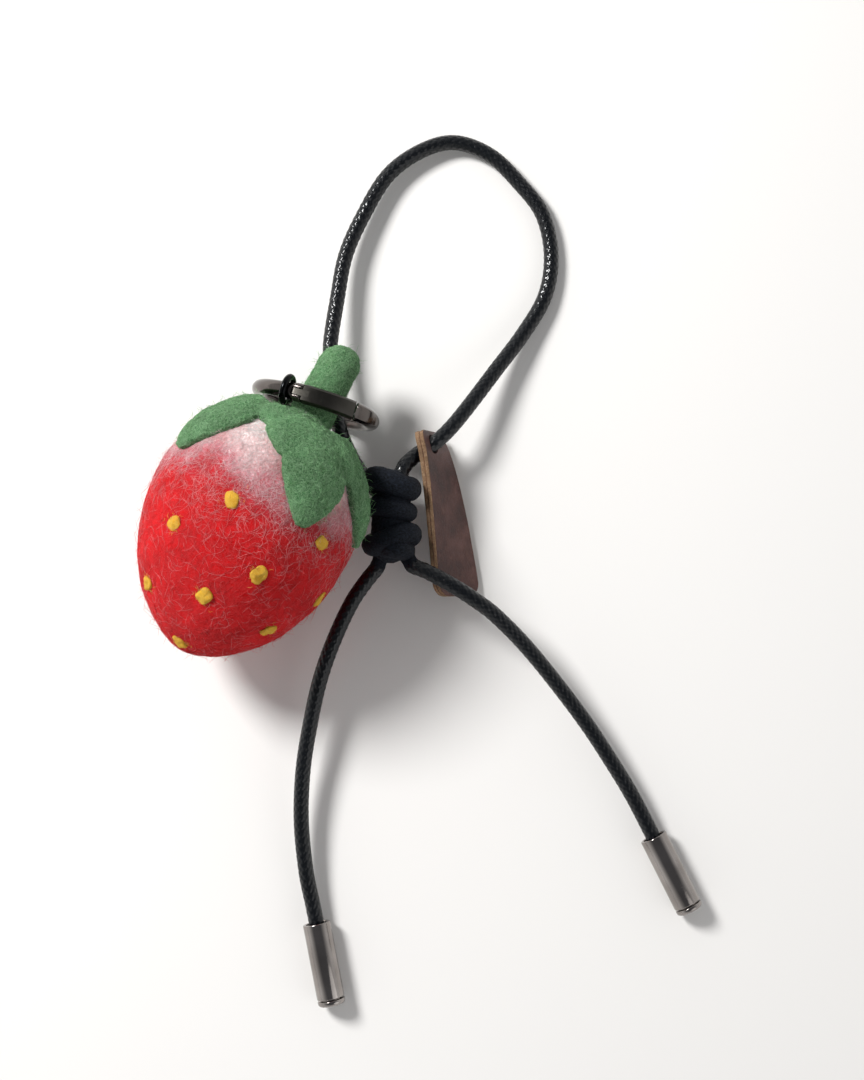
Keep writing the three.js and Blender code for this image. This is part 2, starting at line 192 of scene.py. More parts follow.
def setNode(tree, node, values):
    # Settings come first. An input takes a plain value, a node (its first output) or a pair (node, output).
    for name, value in values.items():
        if isinstance(value, bpy.types.Node):
            value = (value, 0)
        if name == "stops":
            ramp = node.color_ramp.elements
            while len(ramp) < len(value):
                ramp.new(0.5)
            for element, (place, colour) in zip(ramp, value):
                element.position = place
                element.color = linearColour(colour)
        elif isinstance(name, str) and hasattr(node, name):
            setattr(node, name, value)
        elif isinstance(value, tuple) and isinstance(value[0], bpy.types.Node):
            tree.links.new(value[0].outputs[value[1]], node.inputs[name])
        else:
            node.inputs[name].default_value = value


def addNode(tree, kind, values=None):
    made = tree.nodes.new("ShaderNode" + kind)
    setNode(tree, made, values or {})
    return made


def newMaterial(name):
    material = bpy.data.materials.new(name)
    material.use_nodes = True
    tree = material.node_tree
    tree.nodes.clear()
    shader = addNode(tree, "BsdfPrincipled")
    addNode(tree, "OutputMaterial", {"Surface": shader})
    return material, tree, shader


# Camera, nearly straight above

camera = {"target": (35.8, -0.4, 0), "distance": 330, "elevation": 86, "lens": 53.9}


def makeCamera():
    high = math.radians(camera["elevation"])
    target = Vector(camera["target"]) * mm
    back = Vector((0, -math.cos(high), math.sin(high)))
    bpy.ops.object.camera_add(location=target + back * camera["distance"] * mm)
    made = bpy.context.object
    made.rotation_euler = (-back).to_track_quat("-Z", "Y").to_euler()
    made.data.lens = camera["lens"]
    made.data.sensor_width = 36
    made.data.clip_start = 0.01
    bpy.context.scene.camera = made


makeCamera()
print("camera made")


# Cords: routes in millimetres

# "inside" keeps the look's radius a little within the CAD's
cord = {
    "diameter": 3.0, "inside": 0.02, "sides": 48, "step": 0.27, "strands": 8, "plait": 1.6, "relief": 0.2,
    "hollow": 0.6, "endTurns": (75, 55, 35, 15),
}
loopRoute = [
    (25.2, 8.2, 12.2), (23, 10.6, 11.6), (21.2, 13, 10.4), (19.2, 16.6, 9), (17.4, 21, 7.8),
    (16.3, 26.3, 7.2), (15.7, 32.4, 7), (15.3, 38.6, 6.5), (16.5, 47.9, 5), (18.2, 57.6, 4),
    (21.9, 66.4, 3.2), (26.8, 74.6, 2.8), (33.5, 79.7, 2.5), (40.5, 81.6, 2.2), (47.8, 79, 1.9),
    (53.7, 73.3, 1.7), (58.5, 66.8, 1.6), (60.3, 58.3, 1.5), (59, 49.7, 1.7), (54.4, 41.6, 2.6),
    (48.6, 33.6, 4.6), (43.7, 26.8, 6.8), (40, 22, 8.3), (37.1, 19, 9), (34.7, 17.2, 9.3),
    (32.2, 15.4, 10.2), (30.1, 13, 11.4), (29, 9.4, 12.2),
]
leftRoute = [
    (25, -6.7, 11.6), (23, -9.1, 11.2), (19.9, -13.6, 10.5), (16.4, -21, 9.4),
    (13.6, -28.9, 8.2), (11.6, -37.8, 6.9), (10.2, -46.6, 5.7), (9.8, -56.5, 4.6),
    (10.7, -66.5, 3.6), (12.1, -73.5, 2.95), (12.8, -77, 2.75),
]
rightRoute = [
    (32, -6.4, 12.4), (35, -7.6, 13.1), (40.1, -10.4, 13.4), (44.3, -13.1, 12.7),
    (48.2, -16, 11.4), (54.1, -21.8, 9.2), (60.4, -29.3, 7.1), (66.9, -37.9, 5.4),
    (72.1, -45.8, 4.3), (75.7, -51.7, 3.5), (79, -58, 2.9), (80, -60, 2.75),
]


def curveThrough(route, perSpan=40):
    # A smooth curve through every point, with mirrored points past its ends
    points = np.array(route, float)
    points = np.vstack([2 * points[0] - points[1], points, 2 * points[-1] - points[-2]])
    share = np.linspace(0, 1, perSpan, endpoint=False)[:, None]
    spans = []
    for before, start, end, after in zip(points, points[1:], points[2:], points[3:]):
        slopeStart, slopeEnd = (end - before) / 2, (after - start) / 2
        spans.append(
            start + slopeStart * share
            + (3 * (end - start) - 2 * slopeStart - slopeEnd) * share ** 2
            + (2 * (start - end) + slopeStart + slopeEnd) * share ** 3
        )
    return np.vstack(spans + [points[-2:-1]])


def evenSteps(line, step):
    lengths = np.concatenate([[0], np.cumsum(np.linalg.norm(np.diff(line, axis=0), axis=1))])
    places = np.linspace(0, lengths[-1], max(2, round(lengths[-1] / step)) + 1)
    return np.stack([np.interp(places, lengths, line[:, k]) for k in range(3)], axis=1), lengths[-1]


def sideFrames(line, closed):
    # Turns the section as little as possible from ring to ring
    ahead = np.roll(line, -1, axis=0) - np.roll(line, 1, axis=0)
    if not closed:
        ahead[0], ahead[-1] = line[1] - line[0], line[-1] - line[-2]
    ahead /= np.linalg.norm(ahead, axis=1)[:, None]
    side = np.cross(ahead[0], (0, 0, 1))
    sides = []
    for forward in ahead:
        side = side - forward * side.dot(forward)
        side = side / np.linalg.norm(side)
        sides.append(side)
    return ahead, np.array(sides)


def plaitHeight(around, along, strands, plait):
    # 0 to 1: two sets of strands that pass over and under each other
    a = strands * around + along / plait
    b = strands * around - along / plait
    first = (np.floor(a) + np.floor(b)) % 2 < 0.5
    crossA, crossB = np.sin(np.pi * (a % 1)), np.sin(np.pi * (b % 1))
    over = np.where(first, crossA, crossB)
    run = np.where(first, crossB, crossA)
    return np.clip(over, 0, 1) ** 0.6 * (0.7 + 0.3 * np.clip(run, 0, 1))


def plaitedTube(route, radius, closed=False, sides=cord["sides"], step=cord["step"], relief=cord["relief"]):
    # Points, faces and UVs of one plaited cord, in millimetres; an open one has round ends.
    line, length = evenSteps(np.array(route, float), step)
    if closed:
        line = line[:-1]
    ahead, side = sideFrames(line, closed)
    other = np.cross(ahead, side)
    places = np.arange(len(line)) * step
    sizes = np.ones(len(line))
    if not closed:
        turns = np.radians(cord["endTurns"])
        back = turns[::-1]
        lead = np.array([line[0] - ahead[0] * radius * math.sin(t) for t in turns])
        tail = np.array([line[-1] + ahead[-1] * radius * math.sin(t) for t in back])
        line = np.vstack([lead, line, tail])
        side, other = (np.vstack([[way[0]] * len(turns), way, [way[-1]] * len(turns)]) for way in (side, other))
        sizes = np.concatenate([np.cos(turns), sizes, np.cos(back)])
        places = np.concatenate([-radius * np.sin(turns), places, length + radius * np.sin(back)])
    around = np.arange(sides) / sides
    height = plaitHeight(around[None, :], places[:, None], cord["strands"], cord["plait"])
    reach = (radius + relief * (height - cord["hollow"])) * sizes[:, None]
    angle = 2 * np.pi * around
    rings = (
        line[:, None, :]
        + side[:, None, :] * (np.cos(angle)[None, :] * reach)[..., None]
        + other[:, None, :] * (np.sin(angle)[None, :] * reach)[..., None]
    )
    rows = len(line)
    points = rings.reshape(-1, 3)
    faces, uvs = [], []
    levels = places / (2 * np.pi * radius)
    for row in range(rows if closed else rows - 1):
        nextRow = (row + 1) % rows
        low = levels[row]
        high = low + step / (2 * np.pi * radius) if row + 1 >= rows else levels[row + 1]
        for k in range(sides):
            j = (k + 1) % sides
            faces.append((row * sides + k, row * sides + j, nextRow * sides + j, nextRow * sides + k))
            uvs += [(k / sides, low), ((k + 1) / sides, low), ((k + 1) / sides, high), (k / sides, high)]
    if not closed:
        faces.append(tuple(reversed(range(sides))))
        faces.append(tuple(range((rows - 1) * sides, rows * sides)))
        uvs += [(k / sides, 0) for k in reversed(range(sides))] + [(k / sides, 1) for k in range(sides)]
    return points, faces, uvs


def tubePiece(name, tubes):
    # One mesh from several plaited tubes
    points, faces, uvs = [], [], []
    for tubePoints, tubeFaces, tubeUvs in tubes:
        start = len(points)
        points += list(tubePoints * mm)
        faces += [tuple(i + start for i in face) for face in tubeFaces]
        uvs += tubeUvs
    piece = meshPiece(name, points, faces)
    layer = piece.data.uv_layers.new(name="UVMap")
    layer.data.foreach_set("uv", np.array(uvs, np.float32).ravel())
    return piece


def cordMaterial(name, dark, thread, roughness, coat, shine):
    # Waxed polyester braid: nearly black, with a soft shine that breaks up on the crossing strands.
    # The UV runs once round the cord's 9.4 mm, so 46 puts the threads 0.2 mm apart.
    material, tree, shader = newMaterial(name)
    uv = addNode(tree, "UVMap", {"uv_map": "UVMap"})
    fine = addNode(tree, "Mapping", {"Vector": uv, "Scale": (46, 46, 46)})
    strands = addNode(tree, "TexNoise", {
        "Vector": fine, "Scale": 1.0, "Detail": 3.0, "Roughness": 0.6, "Distortion": 0.6})
    tint = addNode(tree, "ValToRGB", {"stops": [(0.35, dark), (0.72, thread)], "Fac": strands})
    worn = addNode(tree, "MapRange", {
        "Value": strands, "From Min": 0.3, "From Max": 0.75,
        "To Min": roughness + 0.14, "To Max": roughness - 0.1})
    bump = addNode(tree, "Bump", {"Height": strands, "Strength": 0.5, "Distance": 0.00018})
    setNode(tree, shader, {
        "Base Color": tint, "Roughness": worn, "Normal": bump, "Coat Weight": coat,
        "Coat Roughness": 0.09, "IOR": 1.47, "Specular IOR Level": shine})
    return material


waxedCord = cordMaterial("waxedBraidedCord", "#020406", "#0c1015", 0.27, 0.5, 0.12)
# Tying rubbed the knot dull.
knotCord = cordMaterial("tightBraidedCord", "#04060a", "#1b212c", 0.72, 0.0, 0.18)


def cordPiece(name, route, body, nodes):
    line = curveThrough(route)
    piece = tubePiece(name, [plaitedTube(line, cord["diameter"] / 2 - cord["inside"])])
    finishPiece(piece, name, body, "cord_black", [waxedCord], nodes, 60)


# Metal cord ends: a tube that the cord goes into, and a domed cap on a plug
endFit = {
    "outer": 5.5, "wall": 0.6, "tube": 14.9, "cap": 1.1, "groove": 0.3, "inside": 9, "plug": 3, "plugPlay": 0.3,
    "dome": 0.75, "rim": 0.16, "lip": 0.14, "sides": 72,
}


def tailLine(route):
    # The cord's route, carried on level into its metal end
    mouth, before = Vector(route[-1]), Vector(route[-2])
    along = mouth - before
    along.z = 0
    along.normalize()
    return mouth, along, route + [tuple(mouth + along * endFit["inside"])]


def metalMaterial(name, dark, light, roughness, scratch):
    # Polished plate: fine rubbing marks break the reflections a little. They are 1.1 mm apart, coarse enough
    # to show, and clouds of 6 mm shade them.
    material, tree, shader = newMaterial(name)
    at = (addNode(tree, "TexCoord"), "Object")
    marks = addNode(tree, "TexNoise", {
        "Vector": at, "Scale": 900.0, "Detail": 4.0, "Roughness": 0.7, "Distortion": 1.5})
    clouds = addNode(tree, "TexNoise", {"Vector": at, "Scale": 170.0, "Detail": 2.0})
    tint = addNode(tree, "ValToRGB", {"stops": [(0.3, dark), (0.7, light)], "Fac": clouds})
    rough = addNode(tree, "MapRange", {
        "Value": marks, "From Min": 0.35, "From Max": 0.8,
        "To Min": roughness, "To Max": roughness + scratch})
    bump = addNode(tree, "Bump", {"Height": marks, "Strength": 0.12, "Distance": 0.00003})
    setNode(tree, shader, {
        "Base Color": tint, "Metallic": 1.0, "Roughness": rough, "Normal": bump})
    return material


polishedNickel = metalMaterial("polishedNickelPlate", "#8b8581", "#a19b97", 0.1, 0.08)
gunmetalPlate = metalMaterial("gunmetalPlatedSteel", "#504b48", "#67615e", 0.12, 0.14)
springSteel = metalMaterial("springSteelWire", "#8a8a88", "#a5a5a2", 0.25, 0.1)


def endPlace(mouth, along):
    # Local +Z runs along the metal end, from its mouth to its cap.
    turn = along.to_track_quat("Z", "Y").to_matrix().to_4x4()
    return Matrix.Translation(mouth * mm) @ turn


def onCircle(height, low, high=math.inf):
    # A test for edges at one height, between two distances from the axis
    def test(start, end):
        return all(abs(point.z - height) < 1e-7 and low < point.xy.length < high for point in (start, end))
    return test


def makeCordEnd(side, mouth, along):
    outer, wall = endFit["outer"] / 2, endFit["wall"]
    top, capStart = endFit["tube"], endFit["tube"] + endFit["groove"]
    tube = addCylinder(outer, top, endFit["sides"], (0, 0, top / 2))
    editMesh(tube)
    selectFaces(tube, lambda centre, normal: abs(normal.z) > 0.9)
    bpy.ops.mesh.inset(thickness=wall * mm, depth=0)
    bpy.ops.mesh.bridge_edge_loops()
    leaveEdit()
    editMesh(tube, "EDGE")
    nearOuter, nearInner = outer * mm - 1e-5, (outer - wall) * mm + 1e-5
    rims = [onCircle(0, nearOuter), onCircle(top * mm, nearOuter)]
    selectEdges(tube, lambda start, end: any(rim(start, end) for rim in rims))
    bpy.ops.mesh.bevel(offset=endFit["rim"] * mm, segments=3)
    selectEdges(tube, onCircle(0, 0, nearInner))
    bpy.ops.mesh.bevel(offset=endFit["lip"] * mm, segments=3)
    outward(tube)

    cap = addCylinder(outer, endFit["cap"], endFit["sides"], (0, 0, capStart + endFit["cap"] / 2))
    editMesh(cap)
    selectFaces(cap, lambda centre, normal: normal.z < -0.9)
    bpy.ops.mesh.inset(thickness=(wall + endFit["plugPlay"]) * mm, depth=0)
    bpy.ops.mesh.extrude_region_move(TRANSFORM_OT_translate={
        "value": (0, 0, -(endFit["plug"] + endFit["groove"]) * mm)})
    leaveEdit()
    editMesh(cap, "EDGE")
    selectEdges(cap, onCircle((capStart + endFit["cap"]) * mm, 0))
    bpy.ops.mesh.bevel(offset=endFit["dome"] * mm, segments=7, profile=0.55)
    selectEdges(cap, onCircle(capStart * mm, nearOuter))
    bpy.ops.mesh.bevel(offset=endFit["lip"] * mm, segments=3)
    outward(cap)
    for made, node in ((tube, "cord_end"), (cap, "end_cap")):
        made.data.transform(endPlace(mouth, along))
        finishPiece(
            made, side + "Metal" + node.title().replace("_", ""), side + "_tail", "nickel",
            [polishedNickel], [side + "_" + node], 30)
    return [tube, cap]


for side, route in (("left", leftRoute), ("right", rightRoute)):
    mouth, along, fullRoute = tailLine(route)
    metal = makeCordEnd(side, mouth, along)
    cordPiece(side + "TailCord", fullRoute, side + "_tail", [side + "_tail_cord"])
print("tails made")


# Knot: wraps of the same cord round its two legs, on a core
knot = {
    "centre": (27.8, 3.5, 12.4), "halfWidth": 3.5, "halfDepth": 3.3, "step": 0.3, "core": 3.8, "relief": 0.12}
# Each wrap: height, rise at the right end, half thickness, and change of half width and of place to the right
knotWraps = [
    (6.2, -0.9, 2.4, -0.1, 0.0), (1.2, -0.5, 1.95, -0.45, 0.0),
    (-4.7, 1.0, 2.2, 0.05, 0.1), (-6.6, -0.2, 2.0, -1.5, 0.6),
]


def wrapRoute(height, rise, wider, aside):
    angle = np.linspace(0, 2 * np.pi, 121)
    swell = 1 + 0.05 * np.cos(2 * angle)
    x = (knot["halfWidth"] + wider) * np.cos(angle) * swell + aside
    y = height + rise * np.cos(angle) + 0.3 * rise * np.sin(2 * angle)
    z = knot["halfDepth"] * np.sin(angle)
    return np.stack([x, y, z], axis=1) + np.array(knot["centre"])


def makeKnot():
    relief = knot["relief"]
    tubes = [
        plaitedTube(wrapRoute(height, rise, wider, aside), thick, True, step=knot["step"], relief=relief)
        for height, rise, thick, wider, aside in knotWraps
    ]
    x, y, z = knot["centre"]
    core = [(x, y + 5.4, z), (x, y, z), (x - 0.3, y - 5.6, z)]
    tubes.append(plaitedTube(core, knot["core"], relief=relief))
    radius = cord["diameter"] / 2 - 0.03
    # The legs inside, and the stubs that the tails start from
    for aside, end in ((-2.2, leftRoute[0]), (1.6, rightRoute[0])):
        leg = curveThrough([
            (x + aside, y + 5, z), (x + aside / 2, y - 1, z - 0.3),
            ((end[0] * 2 + x) / 3, y - 7.2, z - 0.4), end])
        tubes.append(plaitedTube(leg, radius, sides=32))
    piece = tubePiece("snakeKnot", tubes)
    finishPiece(piece, "snakeKnot", "cord", "cord_black", [knotCord], ["snake_knot"], 60)
    return piece


snakeKnot = makeKnot()
cordPiece("loopCord", loopRoute, "cord", ["loop_cord"])
print("loop and knot made")


# Strawberry's own frame: Z from the stalk end to the tip, X to its right, Y up

# "rest" is where it touches the table, from the stalk end, and "sink" how far its wool gives there
berry = {
    "radius": 20.2, "length": 50.4, "shoulder": 21.5, "rest": 24.4, "tipPower": 0.6, "sink": 0.45,
    "turn": 63.3, "tilt": 4, "lump": 0.3, "grain": 0.09, "dimple": 0.35, "dimpleSize": 2.6,
}
# Each leaf: degrees round the body, reach from the stalk end, and half width
leaves = [(7, 18, 5.6), (58, 18.4, 7), (146, 15.6, 6.4), (218, 14, 5.8), (280, 9, 4.2)]
# Each seed: distance from the stalk end, and degrees round the body from its right side
seedPlaces = [
    (19.4, -20), (19.4, 40), (19.4, 96), (19.4, 206),
    (29.6, 10), (29.6, 65), (28.2, 121.5), (29.6, 190), (29.6, 240), (29.6, 312),
    (39, -38), (38.8, 30), (37.6, 87.5), (41, 141), (39, 203), (39, 262),
    (48.6, -50), (48.6, 100), (48.6, 200),
]


def berryRadiusAt(along):
    tipSide = along > berry["shoulder"]
    span = np.where(tipSide, berry["length"] - berry["shoulder"], berry["shoulder"])
    share = np.minimum(1, np.abs(along - berry["shoulder"]) / span)
    return berry["radius"] * (1 - share ** 2) ** np.where(tipSide, berry["tipPower"], 0.5)


def berryPoint(along, turn, out):
    small = 0.05
    slope = (berryRadiusAt(along + small) - berryRadiusAt(along - small)) / (2 * small)
    steep = math.hypot(1, slope)
    radius = berryRadiusAt(along) + out / steep
    angle = math.radians(turn)
    return Vector((radius * math.cos(angle), radius * math.sin(angle), along - out * slope / steep))


def charmFrame():
    tilt, turn = math.radians(berry["tilt"]), math.radians(berry["turn"])
    stalkWay = Vector((math.cos(tilt) * math.cos(turn), math.cos(tilt) * math.sin(turn), math.sin(tilt)))
    right = Vector((math.sin(turn), -math.cos(turn), 0))
    up = (-stalkWay).cross(right)
    basis = Matrix((right, up, -stalkWay)).transposed().to_4x4()
    height = float(berryRadiusAt(berry["rest"])) * math.cos(tilt) - berry["sink"]
    return Matrix.Translation((stalkWay * berry["rest"] + Vector((0, 0, height))) * mm) @ basis


charmPlace = charmFrame()


def roughen(piece, lump, grain, lumpSize=7, grainSize=1.1, seed=0.0):
    # Felt isn't even: broad dents, and a small nap
    mesh = piece.data
    points, normals = readPoints(mesh), readPoints(mesh, "normal")
    places = points / mm + np.array([seed, seed * 2, seed * 3])
    broad = noiseAt(places, lumpSize)
    small = noiseAt(places, grainSize) + 0.5 * noiseAt(places, grainSize * 0.45)
    writePoints(mesh, points + normals * (broad * lump + small * grain)[:, None] * mm)


def keepAbove(piece, height):
    points = readPoints(piece.data)
    points[:, 2] = np.maximum(points[:, 2], height * mm)
    writePoints(piece.data, points)


def makeSkin():
    deselectAll()
    bpy.ops.mesh.primitive_ico_sphere_add(subdivisions=7, radius=1)
    piece = bpy.context.object
    ball = readPoints(piece.data)
    share = np.clip(ball[:, 2], -1, 1)
    along = berry["shoulder"] + share * np.where(
        share > 0, berry["length"] - berry["shoulder"], berry["shoulder"])
    level = ball[:, :2] / np.maximum(np.linalg.norm(ball[:, :2], axis=1), 1e-9)[:, None]
    points = np.column_stack([level * berryRadiusAt(along)[:, None], along])
    # The needle draws the skin in round each seed
    feet = [np.array(berryPoint(*place, 0)) for place in seedPlaces]
    nearest = np.min([np.linalg.norm(points - foot, axis=1) for foot in feet], axis=0)
    outwards = points - np.array([0, 0, berry["shoulder"]])
    outwards /= np.linalg.norm(outwards, axis=1)[:, None]
    points -= outwards * (berry["dimple"] * np.exp(-((nearest / berry["dimpleSize"]) ** 2)))[:, None]
    writePoints(piece.data, points * mm)
    roughen(piece, berry["lump"], berry["grain"])
    piece.data.transform(charmPlace)
    keepAbove(piece, 0)
    return piece


def surfaceOf(piece):
    points = [vertex.co.copy() for vertex in piece.data.vertices]
    piece.data.calc_loop_triangles()
    triangles = [tuple(t.vertices) for t in piece.data.loop_triangles]
    areas = np.array([t.area for t in piece.data.loop_triangles])
    return points, triangles, np.cumsum(areas) / areas.sum(), BVHTree.FromPolygons(points, triangles)


# "loose": how far a stray hair stands off; "round": how far the seeds' hairs lie from them
hairs = {
    "steps": 4, "curl": 0.42, "sunk": 0.03, "offFloor": 0.05, "loose": (0.5, 1.6), "round": 0.8, "taper": 0.65}


def woolFibres(name, source, amount, lengths, thickness, lift, stray, seed, keep=None, starts=None):
    # Fine loose hairs that lie on the felt and, now and then, stand off it; each is a thin three-sided tube.
    points, triangles, shares, tree = surfaceOf(source)
    pick = random.Random(seed)
    steps = hairs["steps"]
    made, faces = [], []
    tries = 0
    while len(made) < amount * (3 * (steps + 1)) and tries < amount * 6:
        tries += 1
        if starts:
            place = starts[tries % len(starts)] + Vector([pick.gauss(0, hairs["round"]) * mm for _ in range(3)])
        else:
            corners = [points[i] for i in triangles[int(np.searchsorted(shares, pick.random()))]]
            a, b = sorted((pick.random(), pick.random()))
            place = corners[0] * a + corners[1] * (b - a) + corners[2] * (1 - b)
        if keep and not keep(place, pick.random()):
            continue
        place, normal, _, _ = tree.find_nearest(place)
        away = normal.cross(Vector((pick.gauss(0, 1), pick.gauss(0, 1), pick.gauss(0, 1)))).normalized()
        length = pick.uniform(*lengths) * mm
        turn = pick.gauss(0, hairs["curl"])
        height = pick.uniform(0.3, 1) * lift * mm
        rise = pick.uniform(*hairs["loose"]) * mm if pick.random() < stray else 0
        line = []
        for k in range(steps + 1):
            share = k / steps
            near, normal, _, _ = tree.find_nearest(place)
            stand = height * math.sin(math.pi * min(1, share + 0.08))
            stand += rise * share ** 2 - hairs["sunk"] * mm * (1 - share)
            if normal.z < 0:
                stand = min(stand, max(0, (near.z - hairs["offFloor"] * mm) / -normal.z))
            line.append(near + normal * stand)
            away = (away - normal * away.dot(normal)).normalized()
            away = Matrix.Rotation(turn, 3, normal) @ away
            place = near + away * (length / steps)
        start = len(made)
        for k, point in enumerate(line):
            ahead = (line[min(k + 1, steps)] - line[max(k - 1, 0)]).normalized()
            side = ahead.cross(normal).normalized()
            up = side.cross(ahead)
            size = thickness / 2 * mm * (1 - hairs["taper"] * abs(2 * k / steps - 1) ** 3)
            for corner in range(3):
                angle = 2 * math.pi * corner / 3
                made.append(point + (side * math.cos(angle) + up * math.sin(angle)) * size)
        for k in range(steps):
            low = start + 3 * k
            for corner in range(3):
                right = (corner + 1) % 3
                faces.append((low + corner, low + right, low + 3 + right, low + 3 + corner))
        faces.append((start + 2, start + 1, start))
        end = start + 3 * steps
        faces.append((end, end + 1, end + 2))
    piece = meshPiece(name, made, faces)
    outward(piece)
    return piece


# Wool. Every pattern's scale is one over its size in metres.
wool = {"strand": 1.0, "fineStrand": 0.5, "patch": 6.0, "bump": 0.0005}


def strandMask(tree, place, size, width, twist):
    # Thin winding lines, like hairs on the surface
    field = addNode(tree, "TexNoise", {
        "Vector": place, "Scale": 1 / (size * mm), "Detail": 2.5, "Roughness": 0.55, "Distortion": twist})
    centred = addNode(tree, "Math", {"operation": "SUBTRACT", 0: field, 1: 0.5})
    ridge = addNode(tree, "Math", {"operation": "ABSOLUTE", 0: centred})
    return addNode(tree, "MapRange", {"Value": ridge, "From Max": width, "To Min": 1.0, "To Max": 0.0})


def woolMaterial(name, base, light, dark, lightShare=0.5, sheen=0.35):
    # Needle-felted wool: matte, lighter hairs winding over a deeper ground, a soft bloom at grazing angles.
    # base is a colour, or a function that adds nodes and returns the last one.
    material, tree, shader = newMaterial(name)
    at = (addNode(tree, "TexCoord"), "Object")
    ground = base(tree, at) if callable(base) else linearColour(base)
    patches = addNode(tree, "TexNoise", {
        "Vector": at, "Scale": 1 / (wool["patch"] * mm), "Detail": 3.0})
    patchShare = addNode(tree, "MapRange", {
        "Value": patches, "From Min": 0.35, "From Max": 0.68, "To Max": 0.5})
    deep = addNode(tree, "Mix", {
        "data_type": "RGBA", "blend_type": "MULTIPLY", 0: patchShare, 6: ground, 7: linearColour(dark)})
    strands = strandMask(tree, at, wool["strand"], 0.045, 2.2)
    fine = strandMask(tree, at, wool["fineStrand"], 0.07, 1.6)
    lines = addNode(tree, "Math", {"operation": "MAXIMUM", 0: strands, 1: fine})
    lineShare = addNode(tree, "Math", {"operation": "MULTIPLY", 0: lines, 1: lightShare})
    tint = addNode(tree, "Mix", {
        "data_type": "RGBA", 0: lineShare, 6: (deep, 2), 7: linearColour(light)})
    heights = addNode(tree, "Math", {"operation": "ADD", 0: strands, 1: fine})
    bump = addNode(tree, "Bump", {"Height": heights, "Strength": 0.55, "Distance": wool["bump"]})
    setNode(tree, shader, {
        "Base Color": (tint, 2), "Roughness": 0.95, "Normal": bump, "Sheen Weight": sheen,
        "Sheen Roughness": 0.45, "Sheen Tint": linearColour(light), "IOR": 1.4,
        "Specular IOR Level": 0.2})
    return material


inverse = charmPlace.inverted()
fade = {
    "start": 7.0, "end": 23.5, "waver": 7.0, "frizz": 3.4,
    "stops": [(0.0, "#f7f3f0"), (0.24, "#ebdcdb"), (0.46, "#c9969d"), (0.68, "#b42a35"), (0.84, "#cf070d")],
}


def fadedRed(stops):
    # White under the leaves, dusty pink where the wools mix, then red
    def build(tree, at):
        local = addNode(tree, "Mapping", {
            "Vector": at, "Location": inverse.translation, "Rotation": inverse.to_euler()})
        parts = addNode(tree, "SeparateXYZ", {"Vector": local})
        waver = addNode(tree, "TexNoise", {"Vector": at, "Scale": 1 / (11 * mm), "Detail": 1.5})
        frizz = addNode(tree, "TexNoise", {
            "Vector": at, "Scale": 1 / (0.9 * mm), "Detail": 3.0, "Distortion": 2.0})
        wide = addNode(tree, "MapRange", {
            "Value": waver, "To Min": -fade["waver"] * mm, "To Max": fade["waver"] * mm})
        narrow = addNode(tree, "MapRange", {
            "Value": frizz, "To Min": -fade["frizz"] * mm, "To Max": fade["frizz"] * mm})
        moved = addNode(tree, "Math", {"operation": "ADD", 0: (parts, "Z"), 1: wide})
        total = addNode(tree, "Math", {"operation": "ADD", 0: moved, 1: narrow})
        share = addNode(tree, "MapRange", {
            "Value": total, "From Min": fade["start"] * mm, "From Max": fade["end"] * mm})
        return addNode(tree, "ValToRGB", {"stops": stops, "Fac": share})
    return build


strawberryWool = woolMaterial("feltedRedWool", fadedRed(fade["stops"]), "#f0565a", "#b02a30", 0.35, 0.1)
strawberryHair = woolMaterial(
    "looseRedWoolHair",
    fadedRed([(0.0, "#fbf6f2"), (0.45, "#e8c4c6"), (0.75, "#e2555c"), (0.95, "#ee2026")]),
    "#ffffff", "#e0b0b0", 0.05, 0.15)
paleHair = woolMaterial(
    "palePinkWoolHair", fadedRed([(0.0, "#ffffff"), (0.55, "#fbe6e6"), (1.0, "#f3a3a5")]),
    "#ffffff", "#e8b8bb", 0.1, 0.15)
greenWool = woolMaterial("feltedGreenWool", "#3b6a3f", "#9fc699", "#2f5938", 0.65, 0.06)
greenHair = woolMaterial("looseGreenWoolHair", "#8cc186", "#d6ecd2", "#5f9a62", 0.25, 0.12)
seedWool = woolMaterial("feltedYellowWool", "#dba730", "#f6da70", "#c88c24", 0.45, 0.12)
seedHair = woolMaterial("looseYellowWoolHair", "#ffd860", "#fff4c0", "#e8b850", 0.2, 0.2)
coreWool = woolMaterial("naturalCoreWool", "#e6ded2", "#fbf7f0", "#b8ab98", 0.4)

skin = makeSkin()
finishPiece(skin, "strawberryFelt", "charm", "wool_red", [strawberryWool], ["wool_skin"])
print("skin made")


# Leaves, collar and stalk are felted into one piece.

calyx = {
    "thickness": 2.2, "edge": 1.0, "root": 1.9, "spread": 27, "collar": 7.4, "collarThick": 1.5,
    "stalkRadius": 4.1, "stalkLength": 17.6, "stalkSide": 0.7, "stalkRise": 3.1, "stalkFall": 7,
    "stalkBend": 3, "stalkTip": 0.72, "stalkFoot": 0.06, "stalkFlare": 0.14, "ringHeight": 13,
    "voxel": 0.36, "smoothing": 7,
    # Short tongues that join the leaves' roots
    "webs": [(108, 4.4, 6.4), (84, 8.4, 5), (30, 8, 5.5), (178, 6, 5)],
}


